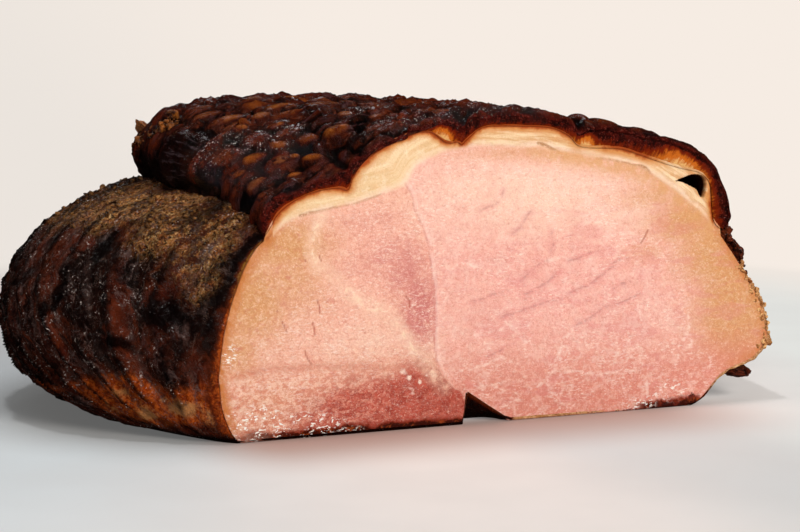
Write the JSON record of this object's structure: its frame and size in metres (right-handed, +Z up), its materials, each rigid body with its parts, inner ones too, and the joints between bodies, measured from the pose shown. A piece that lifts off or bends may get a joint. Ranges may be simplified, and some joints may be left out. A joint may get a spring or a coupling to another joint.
{
  "type": "roast pork joint",
  "caption": "Roast boneless pork joint with blistered dark rind over a cap of fat, browned sides and one clean cut face, resting on its flat underside.",
  "frame": {"origin": "bottom centre of the joint's box, on the surface it rests on", "axes": "+X along the cut face from its left to its right as seen facing it, +Y from the cut face to the far end, +Z up through the meat to the rind"},
  "size_m": [0.2506, 0.1506, 0.1034],
  "materials": {
    "roast_pork": "near-black to red-brown glossy roasted skin on the outside, moist pink meat and cream fat on the cut face"
  },
  "bodies": {
    "root": {"pork_joint": "roast_pork"}
  },
  "joints": []
}
